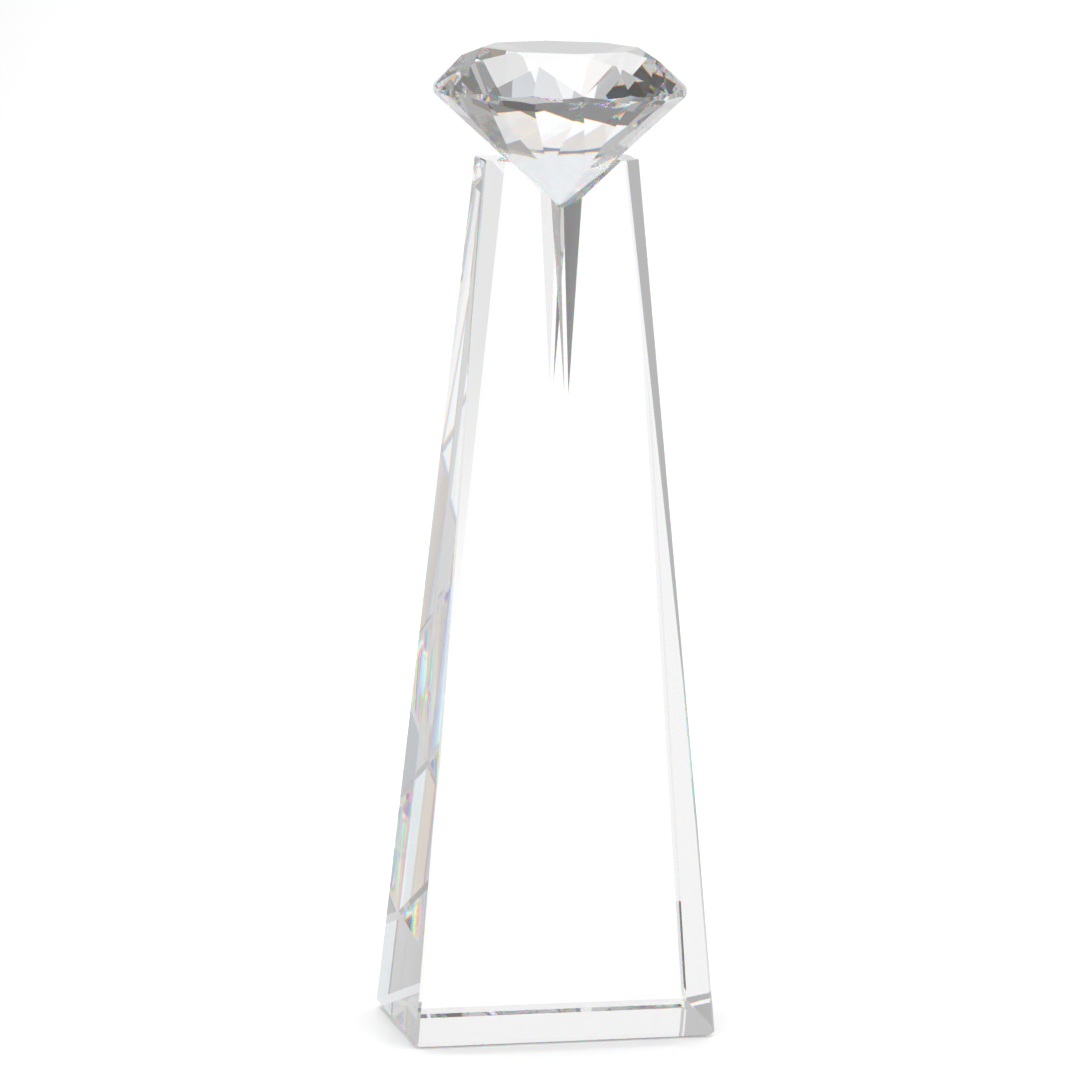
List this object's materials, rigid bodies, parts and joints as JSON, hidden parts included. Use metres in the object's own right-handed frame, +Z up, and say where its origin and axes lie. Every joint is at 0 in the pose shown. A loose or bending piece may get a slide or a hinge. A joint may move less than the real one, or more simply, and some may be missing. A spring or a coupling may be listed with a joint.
{
  "type": "crystal award",
  "caption": "Tall tapered clear crystal tower with a large round brilliant-cut stone seated in a V notch at its top.",
  "frame": {"origin": "centre of the base, on the surface the award stands on", "axes": "+Z up towards the stone, +X to the award's right as seen from its front, -Y towards the viewer at its front"},
  "size_m": [0.0978, 0.08, 0.3133],
  "materials": {
    "tower_crystal": "polished optical crystal",
    "stone_crystal": "polished facets",
    "clear_adhesive": "clear cured film"
  },
  "bodies": {
    "root": {"crystal_tower": "tower_crystal", "crystal_diamond": "stone_crystal", "seat_adhesive_left": "clear_adhesive", "seat_adhesive_right": "clear_adhesive"}
  },
  "joints": []
}
